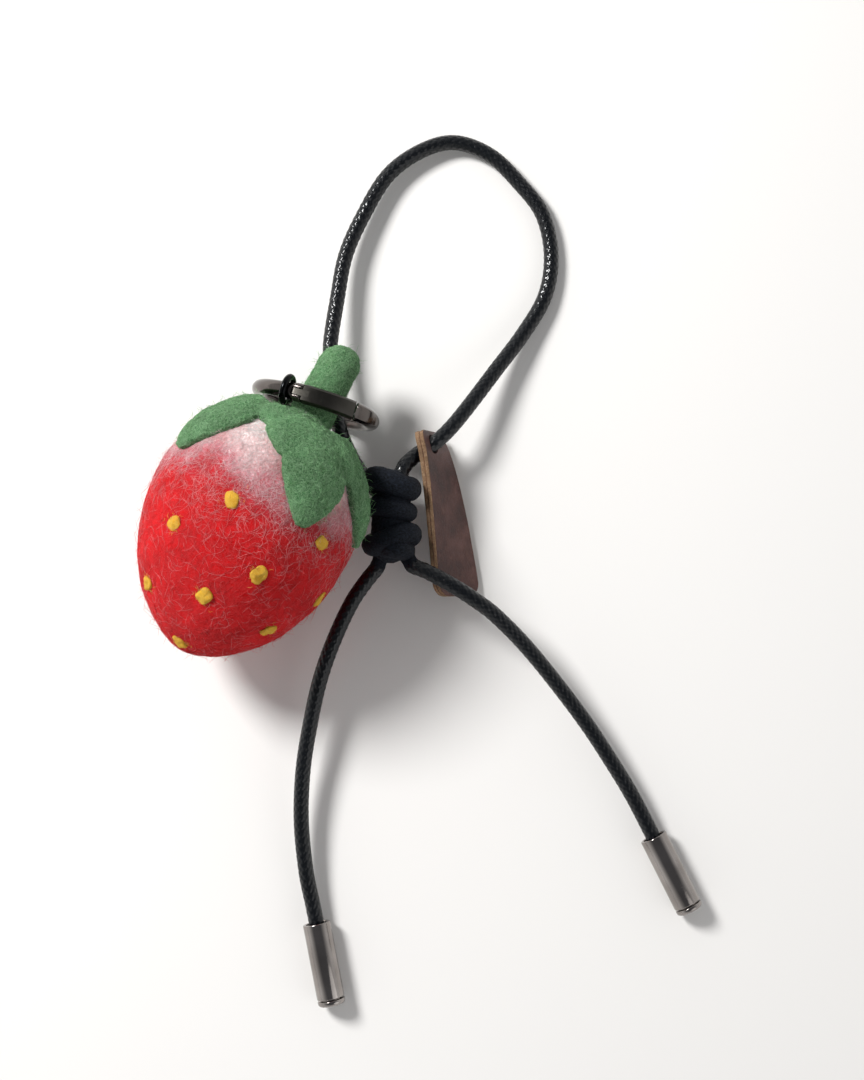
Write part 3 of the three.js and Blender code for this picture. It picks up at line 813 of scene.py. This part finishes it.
def leafPiece(turn, reach, half):
    deselectAll()
    bpy.ops.mesh.primitive_cube_add(size=1)
    piece = bpy.context.object
    editMesh(piece)
    bpy.ops.mesh.select_all(action="SELECT")
    bpy.ops.mesh.subdivide(number_cuts=23)
    leaveEdit()
    for vertex in piece.data.vertices:
        u, v, w = vertex.co.x + 0.5, 2 * vertex.co.y, vertex.co.z + 0.5
        along = calyx["root"] + (reach - calyx["root"]) * u
        width = half * (0.16 + 0.84 * math.sin(math.pi * (0.24 + 0.74 * u)) ** 0.9) * (1 - 0.4 * u ** 6)
        radius = float(berryRadiusAt(along))
        spread = -v * min(calyx["spread"], math.degrees(width / radius))
        crown = calyx["edge"] + (calyx["thickness"] - calyx["edge"]) * (1 - v * v) * (1 - u ** 6)
        vertex.co = berryPoint(along, turn + spread, -0.35 + w * (crown + 0.5)) * mm
    return piece


def stalkPiece():
    deselectAll()
    bpy.ops.mesh.primitive_uv_sphere_add(segments=40, ring_count=30, radius=1)
    piece = bpy.context.object
    length, radius = calyx["stalkLength"], calyx["stalkRadius"]
    for vertex in piece.data.vertices:
        share = (vertex.co.z + 1) / 2
        level = math.sqrt(max(1e-9, 1 - vertex.co.z ** 2))
        past = max(0, (share - calyx["stalkTip"]) / (1 - calyx["stalkTip"]))
        short = max(0, (calyx["stalkFoot"] - share) / calyx["stalkFoot"])
        rounded = math.sqrt(max(0, 1 - past ** 2)) * math.sqrt(max(0, 1 - short ** 2))
        size = radius * (1 + calyx["stalkFlare"] * (1 - share) ** 3) * rounded / level
        height = share * length
        drift = math.tan(math.radians(calyx["stalkBend"])) * height ** 2 / length / 2
        vertex.co = (vertex.co.x * size + drift, vertex.co.y * size, height)
    fall = Matrix.Rotation(math.pi - math.radians(calyx["stalkFall"]), 4, "X")
    axisHeight = charmPlace.translation.z / mm
    drop = (axisHeight - calyx["ringHeight"] - calyx["stalkRise"]) / math.cos(math.radians(berry["tilt"]))
    piece.data.transform(
        Matrix.Scale(mm, 4) @ Matrix.Translation((calyx["stalkSide"], -drop, 0.9)) @ fall)
    return piece


def collarPiece():
    deselectAll()
    bpy.ops.mesh.primitive_uv_sphere_add(segments=48, ring_count=16, radius=1)
    piece = bpy.context.object
    for vertex in piece.data.vertices:
        x, y, z = vertex.co
        reach = calyx["collar"] * (1 + 0.06 * math.sin(3 * math.atan2(y, x)))
        away = min(0.9, math.hypot(x, y) * reach / berry["radius"])
        bowl = berry["shoulder"] * (1 - math.sqrt(1 - away ** 2))
        vertex.co = (x * reach * mm, y * reach * mm, (bowl + z * calyx["collarThick"] * 0.9 + 0.2) * mm)
    return piece


def makeCalyx():
    parts = [leafPiece(*leaf) for leaf in leaves + calyx["webs"]] + [stalkPiece(), collarPiece()]
    for part in parts:
        applyPlace(part)
        outward(part)
    piece = joinAll(parts)
    applyModifier(piece, "REMESH", mode="VOXEL", voxel_size=calyx["voxel"] * mm, adaptivity=0)
    applyModifier(piece, "SMOOTH", factor=0.5, iterations=calyx["smoothing"])
    roughen(piece, lump=0.2, grain=0.15, lumpSize=4, grainSize=0.9, seed=5.0)
    piece.data.transform(charmPlace)
    keepAbove(piece, 0.2)
    return piece


leafFelt = makeCalyx()
finishPiece(
    leafFelt, "leafFelt", "charm", "wool_green", [greenWool],
    ["leaf_collar", "stalk"] + [f"leaf_{i + 1}" for i in range(len(leaves))])
print("calyx made")


# Seeds: dabs of yellow wool

seed = {"long": 1.85, "wide": 1.5, "thick": 0.5, "proud": -0.12, "sizes": (0.8, 0.98)}


def makeSeeds():
    pick = random.Random(11)
    dabs = []
    for along, turn in seedPlaces:
        deselectAll()
        bpy.ops.mesh.primitive_uv_sphere_add(segments=28, ring_count=18, radius=1)
        dab = bpy.context.object
        foot, top = berryPoint(along, turn, 0), berryPoint(along, turn, 1)
        turned = (top - foot).to_track_quat("Z", "Y").to_matrix().to_4x4()
        spin = Matrix.Rotation(pick.uniform(0, math.pi), 4, "Z")
        size = pick.uniform(*seed["sizes"])
        shape = Matrix.Diagonal((seed["wide"] * size, seed["long"] * size, seed["thick"], 1))
        place = Matrix.Translation(foot + (top - foot) * seed["proud"])
        dab.data.transform(Matrix.Scale(mm, 4) @ place @ turned @ spin @ shape)
        dab.data.update()
        roughen(dab, lump=0.42, grain=0.14, lumpSize=1.3, grainSize=0.6, seed=pick.uniform(0, 50))
        dabs.append(dab)
    piece = joinAll(dabs)
    piece.data.transform(charmPlace)
    keepAbove(piece, 0.03)
    return piece


seedFelt = makeSeeds()
finishPiece(
    seedFelt, "seedFelt", "charm", "wool_yellow", [seedWool],
    [f"seed_{i + 1:02d}" for i in range(len(seedPlaces))])
paintNode("wool_core", coreWool)
print("seeds made")

# Loose hairs. The pale ones are thickest where the white wool was laid.
seedFeet = [charmPlace @ (berryPoint(along, turn, 0) * mm) for along, turn in seedPlaces]


def paleWanted(place, chance):
    along = (inverse @ place).z / mm + 5 * noise.noise(place / (6 * mm))
    return chance < (0.95 if along < 17 else 0.95 - 0.07 * (along - 17) if along < 28 else 0.16)


hairSets = (
    (strawberryHair, "wool_red", dict(
        name="redHair", source=skin, amount=7400, lengths=(1.6, 4.6), thickness=0.05,
        lift=0.14, stray=0.1, seed=3)),
    (paleHair, "wool_red", dict(
        name="paleHair", source=skin, amount=7400, lengths=(1.2, 4.4), thickness=0.036,
        lift=0.2, stray=0.12, seed=5, keep=paleWanted)),
    (greenHair, "wool_green", dict(
        name="greenHair", source=leafFelt, amount=7600, lengths=(0.9, 2.6), thickness=0.06,
        lift=0.16, stray=0.12, seed=7)),
    (seedHair, "wool_yellow", dict(
        name="yellowHair", source=skin, amount=1000, lengths=(0.5, 1.2), thickness=0.05,
        lift=0.4, stray=0.0, seed=9, starts=seedFeet)),
)
for material, slotName, settings in hairSets:
    finishPiece(woolFibres(**settings), settings["name"], "charm", slotName, [material])
print("hairs made")


# Spring-gate ring. Its own frame: X along the ring's plane, Y up, Z through it.

ring = {
    "outer": 26, "rod": 3, "gateRod": 3.2, "turn": -16.4, "eyeX": 8.24, "eyeY": 26.67, "eyeAngle": 115,
    "pinAngle": 105, "noseAngle": 42, "noseGap": 0.5, "tongue": 1.0, "tongueRadius": 1.2, "hingeGap": 0.15,
    "flat": 1.12, "sides": 48, "steps": 160, "gateSteps": 48, "overrun": 6, "gatePlay": 0.3, "barBack": 6,
    "wider": 1.2, "wideFrom": 0, "wideTo": 112, "wideIn": 22, "wideOut": 6,
    "bodyEdge": 0.1, "gateEdge": 0.2,
}
ringRadius = (ring["outer"] - ring["rod"]) / 2


def onRing(degrees, radius=ringRadius):
    return Vector((radius * math.cos(math.radians(degrees)), radius * math.sin(math.radians(degrees)), 0))


def ringFrame():
    turn = math.radians(ring["turn"])
    across = onRing(ring["eyeAngle"]).x
    centre = Vector((
        ring["eyeX"] - across * math.cos(turn), ring["eyeY"] - across * math.sin(turn), ring["outer"] / 2))
    plane = Matrix.Rotation(turn, 4, "Z") @ Matrix.Rotation(math.pi / 2, 4, "X")
    return Matrix.Translation(centre * mm) @ plane


ringPlace = ringFrame()
pin = onRing(ring["pinAngle"])
noseReach = 2 * ringRadius * math.sin(math.radians((ring["pinAngle"] - ring["noseAngle"]) / 2))


def spunRod(radius, start, angle, steps, flatTop=None):
    # A round section, with its outer side flattened for the gate, spun about the ring's axis
    deselectAll()
    bpy.ops.mesh.primitive_circle_add(
        vertices=ring["sides"], radius=radius * mm, location=(ringRadius * mm, 0, 0),
        rotation=(math.pi / 2, 0, 0), fill_type="NGON")
    piece = bpy.context.object
    applyPlace(piece)
    if flatTop:
        for vertex in piece.data.vertices:
            vertex.co.x = min(vertex.co.x, (ringRadius + flatTop) * mm)
            vertex.co.z *= 0.98
    piece.data.transform(Matrix.Rotation(math.radians(start), 4, "Z"))
    editMesh(piece)
    bpy.ops.mesh.select_all(action="SELECT")
    closed = angle >= 360
    if closed:
        bpy.ops.mesh.delete(type="ONLY_FACE")
        bpy.ops.mesh.select_all(action="SELECT")
    bpy.ops.mesh.spin(
        steps=steps, angle=math.radians(angle), center=(0, 0, 0), axis=(0, 0, 1), use_auto_merge=closed)
    outward(piece)
    return piece


def gateSide(radius):
    # What lies within a distance of the pin, on the gate's side of it
    piece = addCylinder(radius, 8, 160, pin)
    editMesh(piece)
    bpy.ops.mesh.select_all(action="SELECT")
    bpy.ops.mesh.bisect(
        plane_co=(0, 0, 0), plane_no=onRing(ring["pinAngle"] + 90, 1), use_fill=True, clear_outer=True)
    leaveEdit()
    return piece


def makeRing():
    body = spunRod(ring["rod"] / 2, 0, 360, ring["steps"])
    opening = gateSide(noseReach)
    cut(opening, addCylinder(ring["rod"] / 2, 12, 64, pin))
    cut(body, opening)
    gap = ring["hingeGap"]
    cut(body, addCylinder(ring["rod"] / 2 + gap, ring["tongue"] + 2 * gap, 64, pin))
    outward(body)

    span = ring["pinAngle"] - ring["noseAngle"] + ring["overrun"]
    gate = spunRod(ring["gateRod"] / 2, ring["pinAngle"], span, ring["gateSteps"], ring["flat"])
    cut(gate, gateSide(noseReach - ring["noseGap"]), "INTERSECT")
    cut(gate, addCylinder(ring["rod"] / 2 + ring["gatePlay"], 12, 64, pin))
    # The tongue that turns on the pin, and the bar that joins it to the gate
    tongue = addCylinder(ring["tongueRadius"], ring["tongue"], 48, pin)
    deselectAll()
    barAngle = ring["pinAngle"] - ring["barBack"]
    bpy.ops.mesh.primitive_cube_add(
        size=1, location=onRing(barAngle) * mm, rotation=(0, 0, math.radians(barAngle)))
    bar = bpy.context.object
    bar.scale = (2 * ring["tongueRadius"] * mm, 3.0 * mm, ring["tongue"] * mm)
    applyPlace(bar)
    cut(tongue, bar, "UNION")
    cut(gate, tongue, "UNION")
    outward(gate)
    # The gate and the nose it meets are wider than the rod, with flat tops.
    for piece in (body, gate):
        points = readPoints(piece.data) / mm
        turned = np.degrees(np.arctan2(points[:, 1], points[:, 0]))
        reach = np.hypot(points[:, 0], points[:, 1])
        near = np.clip((turned - ring["wideFrom"]) / ring["wideIn"], 0, 1)
        near *= np.clip((ring["wideTo"] - turned) / ring["wideOut"], 0, 1)
        points[:, 2] *= 1 + (ring["wider"] - 1) * near
        top = ringRadius + ring["rod"] / 2 - (ring["rod"] / 2 - ring["flat"]) * np.clip(near * 1.4, 0, 1)
        lower = np.minimum(1, top / np.maximum(reach, 0.001))
        points[:, :2] *= lower[:, None]
        writePoints(piece.data, points * mm)
    for piece, width in ((body, ring["bodyEdge"]), (gate, ring["gateEdge"])):
        applyModifier(
            piece, "BEVEL", width=width * mm, segments=2, limit_method="ANGLE",
            angle_limit=math.radians(50), harden_normals=False, use_clamp_overlap=True)
        outward(piece)
        piece.data.transform(ringPlace)
    finishPiece(body, "ringBody", "ring", "gunmetal", [gunmetalPlate], ["ring_body"], 40)
    finishPiece(gate, "ringGate", "gate", "gunmetal", [gateMetal], ["ring_gate"], 30)


gateMetal = metalMaterial("gunmetalPlatedGate", "#35332f", "#4a4844", 0.3, 0.12)
makeRing()
paintNode("gate_pin", polishedNickel)
paintNode("gate_spring", springSteel)
print("ring made")


# Screw eye: its hoop holds the ring's rod, its shank goes into the felt.

eye = {"wire": 1.3, "inner": 3.7, "shank": 12, "point": 0.8, "upright": 0.5}


def makeScrewEye():
    major, wire = (eye["inner"] + eye["wire"]) / 2, eye["wire"] / 2
    deselectAll()
    bpy.ops.mesh.primitive_torus_add(
        major_segments=72, minor_segments=28, major_radius=major * mm, minor_radius=wire * mm)
    hoop = bpy.context.object
    middle = eye["inner"] / 2 + wire + eye["shank"] / 2
    shank = addCylinder(wire, eye["shank"], 28, (0, middle, 0), (math.pi / 2, 0, 0))
    editMesh(shank)
    selectFaces(shank, lambda centre, normal: normal.y > 0.9)
    bpy.ops.mesh.extrude_region_move(TRANSFORM_OT_translate={"value": (0, eye["point"] * mm, 0)})
    bpy.ops.transform.resize(value=(0.15, 0.15, 0.15))
    leaveEdit()
    cut(hoop, shank, "UNION")
    outward(hoop)
    at = ringPlace @ (onRing(ring["eyeAngle"]) * mm)
    rodWay = ringPlace.to_3x3() @ onRing(ring["eyeAngle"] - 90, 1)
    rodWay.z *= eye["upright"]
    rodWay.normalize()
    tipWay = charmPlace.to_3x3() @ Vector((0, 0, 1))
    shankWay = (tipWay - rodWay * tipWay.dot(rodWay)).normalized()
    basis = Matrix((shankWay.cross(rodWay), shankWay, rodWay)).transposed().to_4x4()
    hoop.data.transform(Matrix.Translation(at) @ basis)
    return hoop


blackWire = metalMaterial("blackNickelWire", "#121314", "#222324", 0.16, 0.12)
finishPiece(makeScrewEye(), "screwEye", "charm", "black_wire", [blackWire], ["screw_eye"], 50)
print("screw eye made")


# Leather tag

tag = {
    "length": 33, "width": 12.5, "thickness": 1.8, "corner": 3, "holeIn": 4.6, "holeDown": 4,
    "tiltHole": 75, "tiltFar": 48, "twist": 0.6, "groove": 0.12, "grooveHalf": 0.15, "edge": 0.2, "drill": 1.9,
}
tagEdge = [(32.7, 20.4, 13.6), (34, 15.6, 13), (35.3, 4.1, 11.5), (36.7, -12.4, 10)]
tagLine = evenSteps(curveThrough(tagEdge), 0.05)[0]


def tagPoint(along, down, out):
    share = max(0.0, min(1.0, along / tag["length"]))
    at = share * (len(tagLine) - 1)
    low = int(min(len(tagLine) - 2, at))
    edge = Vector(tagLine[low]).lerp(Vector(tagLine[low + 1]), at - low)
    past = along - max(0, min(tag["length"], along))
    edge += Vector(tagLine[low + 1] - tagLine[low]).normalized() * past
    forward = Vector(tagLine[min(low + 4, len(tagLine) - 1)] - tagLine[max(low - 4, 0)]).normalized()
    level = Vector((-forward.y, forward.x, 0)).normalized()
    tilt = math.radians(tag["tiltHole"] + (tag["tiltFar"] - tag["tiltHole"]) * share ** tag["twist"])
    across = level * math.cos(tilt) - Vector((0, 0, 1)) * math.sin(tilt)
    normal = forward.cross(across).normalized()
    return edge + across * down + normal * out


def makeTag():
    # A flat strip with rounded corners, cut and bevelled, then bent to its place
    deselectAll()
    bpy.ops.mesh.primitive_grid_add(x_subdivisions=132, y_subdivisions=50, size=1)
    piece = bpy.context.object
    half = tag["width"] / 2

    def lostAt(along):
        # How far a rounded corner draws the side in
        fromEnd = max(0, min(along, tag["length"] - along))
        return tag["corner"] - math.sqrt(tag["corner"] ** 2 - max(0, tag["corner"] - fromEnd) ** 2)

    for vertex in piece.data.vertices:
        along = (vertex.co.x + 0.5) * tag["length"]
        vertex.co = (along, vertex.co.y * 2 * (half - lostAt(along)), 0)
    outward(piece)
    applyModifier(piece, "SOLIDIFY", thickness=tag["thickness"], offset=0)
    editMesh(piece, "EDGE")

    def onRim(point):
        atEnd = min(point.x, tag["length"] - point.x) < 0.01
        return atEnd or abs(point.y) > half - lostAt(point.x) - 0.02

    wide = tag["thickness"] / 2 - 0.01
    selectEdges(piece, lambda start, end: abs(start.z - end.z) < 0.01 and abs(start.z) > wide
                and onRim(start) and onRim(end) and onRim((start + end) / 2))
    bpy.ops.mesh.bevel(offset=tag["edge"], segments=3)
    # Two layers glued together: the cut edge is split by a thin groove
    selectEdges(piece, lambda start, end: abs(start.z - end.z) > 0.5 * tag["thickness"])
    bpy.ops.mesh.subdivide(number_cuts=6)
    leaveEdit()
    mesh = piece.data
    for _ in range(3):
        mesh.materials.append(None)
    for face in mesh.polygons:
        if abs(face.normal.z) < 0.75:
            face.material_index = 2 if abs(face.center.z) < tag["grooveHalf"] else 1
    for vertex in mesh.vertices:
        if abs(vertex.co.z) < tag["grooveHalf"]:
            sunk = Vector((vertex.normal.x, vertex.normal.y, 0))
            vertex.co -= sunk * tag["groove"]
    for vertex in mesh.vertices:
        grain = noise.noise(vertex.co / 2.5) * 0.03 + noise.noise(vertex.co / 0.7) * 0.012
        out = vertex.co.z + grain * (1 if vertex.co.z > 0 else -1)
        vertex.co = tagPoint(vertex.co.x, half + vertex.co.y, out) * mm
    mesh.update()
    # The hole is drilled along the cord that goes through it
    loopLine = evenSteps(curveThrough(loopRoute), 0.1)[0]
    centre = tagPoint(tag["holeIn"], tag["holeDown"], 0)
    late = loopLine[len(loopLine) // 2:]
    nearest = int(np.argmin(np.linalg.norm(late - np.array(centre), axis=1)))
    point = Vector(late[nearest])
    way = Vector(late[min(nearest + 3, len(late) - 1)] - late[nearest - 3]).normalized()
    drill = addCylinder(tag["drill"], 12, 64)
    drill.data.transform(Matrix.Translation(point * mm) @ way.to_track_quat("Z", "Y").to_matrix().to_4x4())
    cut(piece, drill)
    outward(piece)
    return piece


# Pattern sizes in millimetres
leather = {"pore": 0.55, "crease": 1.8, "shade": 5.0, "fibre": 0.35, "stain": 2.2, "glue": 0.6}


def leatherMaterials():
    # Finished calf leather: a dyed face with fine pores and creases, and a cut edge of pale loose fibres
    # in two layers with a dark line of glue between them
    face, tree, shader = newMaterial("dyedLeatherFace")
    at = (addNode(tree, "TexCoord"), "Object")
    pores = addNode(tree, "TexVoronoi", {
        "feature": "DISTANCE_TO_EDGE", "Vector": at, "Scale": 1 / (leather["pore"] * mm), "Randomness": 1.0})
    creases = addNode(tree, "TexNoise", {
        "Vector": at, "Scale": 1 / (leather["crease"] * mm),
        "Detail": 5.0, "Roughness": 0.65, "Distortion": 0.8})
    shade = addNode(tree, "TexNoise", {
        "Vector": at, "Scale": 1 / (leather["shade"] * mm), "Detail": 2.0})
    tone = addNode(tree, "ValToRGB", {
        "stops": [(0.32, "#38201d"), (0.55, "#4b2c27"), (0.75, "#61403a")], "Fac": shade})
    wear = addNode(tree, "MapRange", {
        "Value": creases, "From Min": 0.52, "From Max": 0.75, "To Max": 0.45})
    tint = addNode(tree, "Mix", {"data_type": "RGBA", 0: wear, 6: tone, 7: linearColour("#7a554b")})
    pits = addNode(tree, "MapRange", {"Value": pores, "From Max": 0.12})
    heights = addNode(tree, "Math", {"operation": "ADD", 0: pits, 1: creases})
    bump = addNode(tree, "Bump", {"Height": heights, "Strength": 0.5, "Distance": 0.0001})
    rough = addNode(tree, "MapRange", {"Value": creases, "To Min": 0.42, "To Max": 0.62})
    setNode(tree, shader, {
        "Base Color": (tint, 2), "Roughness": rough, "Normal": bump, "IOR": 1.45,
        "Specular IOR Level": 0.4})

    edge, tree, shader = newMaterial("rawLeatherEdge")
    at = (addNode(tree, "TexCoord"), "Object")
    fibre = addNode(tree, "TexNoise", {
        "Vector": at, "Scale": 1 / (leather["fibre"] * mm),
        "Detail": 5.0, "Roughness": 0.75, "Distortion": 1.2})
    broad = addNode(tree, "TexNoise", {
        "Vector": at, "Scale": 1 / (leather["stain"] * mm), "Detail": 2.0})
    tone = addNode(tree, "ValToRGB", {
        "stops": [(0.3, "#4f3b2c"), (0.5, "#8c6d51"), (0.72, "#bfa283")], "Fac": fibre})
    worn = addNode(tree, "MapRange", {
        "Value": broad, "From Min": 0.4, "From Max": 0.7, "To Max": 0.55})
    tint = addNode(tree, "Mix", {"data_type": "RGBA", 0: worn, 6: tone, 7: linearColour("#6d5440")})
    bump = addNode(tree, "Bump", {"Height": fibre, "Strength": 0.9, "Distance": 0.0004})
    setNode(tree, shader, {"Base Color": (tint, 2), "Roughness": 0.9, "Normal": bump, "IOR": 1.4})

    seam, tree, shader = newMaterial("leatherGlueLine")
    glue = addNode(tree, "TexNoise", {
        "Vector": (addNode(tree, "TexCoord"), "Object"), "Scale": 1 / (leather["glue"] * mm), "Detail": 3.0})
    tone = addNode(tree, "ValToRGB", {"stops": [(0.35, "#3a2418"), (0.7, "#6e4b31")], "Fac": glue})
    setNode(tree, shader, {"Base Color": tone, "Roughness": 0.85})
    return face, edge, seam


finishPiece(makeTag(), "leatherTag", "tag", "leather_brown", leatherMaterials(), ["leather_tag"], 40)
print("tag made")


# Floor and lights

studio = {
    "floor": "#e9e7e4", "keyPlace": (-0.36, 0.3, 0.46), "keySize": 0.2, "keyPower": 5.8,
    "fillPlace": (0.5, -0.35, 0.45), "fillSize": 0.5, "fillPower": 0.5,
    "overhead": "#6f7074", "horizon": "#ffffff", "world": 0.85, "floorSize": 6,
}


def makeStudio():
    deselectAll()
    bpy.ops.mesh.primitive_plane_add(size=studio["floorSize"])
    floor = bpy.context.object
    floor.name = "floor"
    material, tree, shader = newMaterial("paleFloor")
    setNode(tree, shader, {"Base Color": linearColour(studio["floor"]), "Roughness": 0.8})
    floor.data.materials.append(material)
    for lamp in ("key", "fill"):
        place, size, power = (studio[lamp + part] for part in ("Place", "Size", "Power"))
        bpy.ops.object.light_add(type="AREA", location=place)
        light = bpy.context.object
        light.data.shape = "DISK"
        light.data.size = size
        light.data.energy = power
        light.rotation_euler = (-Vector(place)).to_track_quat("-Z", "Y").to_euler()
    world = bpy.data.worlds.new("studioWorld")
    world.use_nodes = True
    tree = world.node_tree
    # Darker overhead than at the horizon, so that round metal shows bands
    parts = addNode(tree, "SeparateXYZ", {"Vector": (addNode(tree, "TexCoord"), "Generated")})
    sky = addNode(tree, "ValToRGB", {"stops": [
        (0.35, studio["horizon"]), (0.85, studio["overhead"])], "Fac": (parts, "Z")})
    setNode(tree, tree.nodes["Background"], {"Color": sky, "Strength": studio["world"]})
    bpy.context.scene.world = world
    bpy.context.scene.view_settings.view_transform = "Standard"


makeStudio()
print("studio made")
